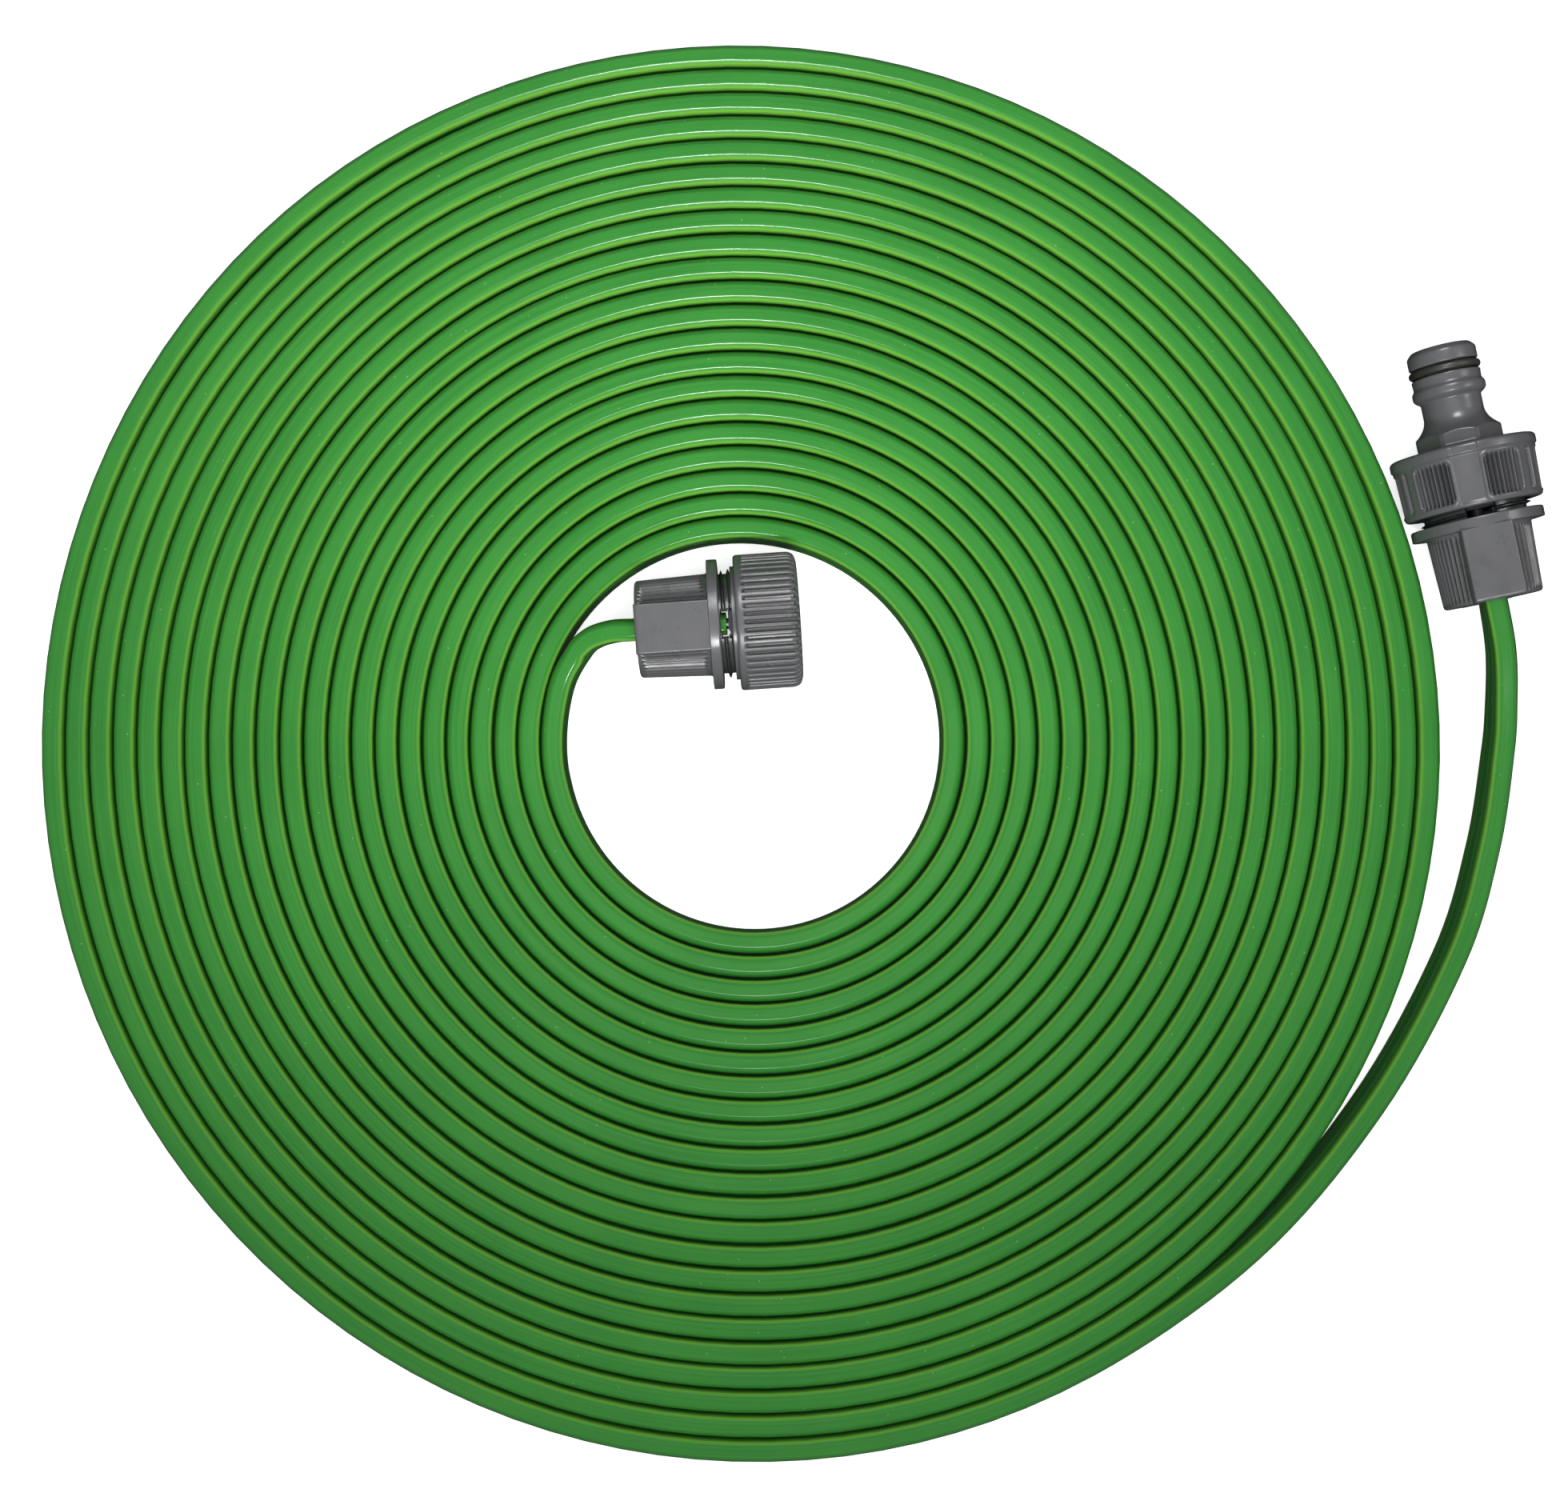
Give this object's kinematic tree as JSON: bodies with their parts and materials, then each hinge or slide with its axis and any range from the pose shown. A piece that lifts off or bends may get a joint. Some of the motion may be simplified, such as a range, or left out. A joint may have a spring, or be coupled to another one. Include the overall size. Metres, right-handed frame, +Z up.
{
  "type": "soaker hose",
  "caption": "Flat multi-channel soaker hose wound into a spiral coil, with a threaded tap connector nipple at its outer end and a screw end cap at its inner end.",
  "frame": {"origin": "centre of the whole object's outline, on the ground plane that the coil lies on", "axes": "+Z up out of the ground plane, +X from the coil's centre towards the inlet fitting, +Y towards the side that the inlet nipple points to"},
  "size_m": [0.3664, 0.3472, 0.0352],
  "materials": {
    "green_pvc": "semi-gloss, slightly translucent green soft PVC",
    "grey_plastic": "satin mid-grey moulded plastic with a fine grain",
    "dark_plastic": "satin dark-grey moulded plastic",
    "seal_rubber": "matt black rubber"
  },
  "bodies": {
    "hose_and_bodies": {"hose_coil": "green_pvc", "hose_inlet_tail": "green_pvc", "hose_end_tail": "green_pvc", "inlet_clamp_body": "grey_plastic", "inlet_barbed_insert": "dark_plastic", "end_clamp_body": "grey_plastic", "end_barbed_insert": "dark_plastic"},
    "connector_travel": {"inlet_washer": "seal_rubber"},
    "connector": {"tap_connector": "grey_plastic", "nipple_o_ring": "seal_rubber"},
    "cap_travel": {"end_washer": "seal_rubber"},
    "cap": {"end_cap": "grey_plastic"}
  },
  "joints": [
    {"name": "connector_slide", "type": "slide", "parent": "hose_and_bodies", "child": "connector_travel", "axis": [-0.2045, 0.9789, 0], "range_m": [0, 0.00544]},
    {"name": "connector_turn", "type": "hinge", "parent": "connector_travel", "child": "connector", "pos_m": [0.17144, 0.0365, 0.0178], "axis": [-0.2045, 0.9789, 0], "range_deg": [0, 1080]},
    {"name": "cap_slide", "type": "slide", "parent": "hose_and_bodies", "child": "cap_travel", "axis": [0.9977, 0.068, 0], "range_m": [0, 0.00544]},
    {"name": "cap_turn", "type": "hinge", "parent": "cap_travel", "child": "cap", "pos_m": [-0.03736, 0.0294, 0.0169], "axis": [0.9977, 0.068, 0], "range_deg": [0, 1080]}
  ],
  "couplings": [
    {"joint": "connector_slide", "follows": "connector_turn", "m_per_rad": 0.00028871},
    {"joint": "cap_slide", "follows": "cap_turn", "m_per_rad": 0.00028871}
  ]
}
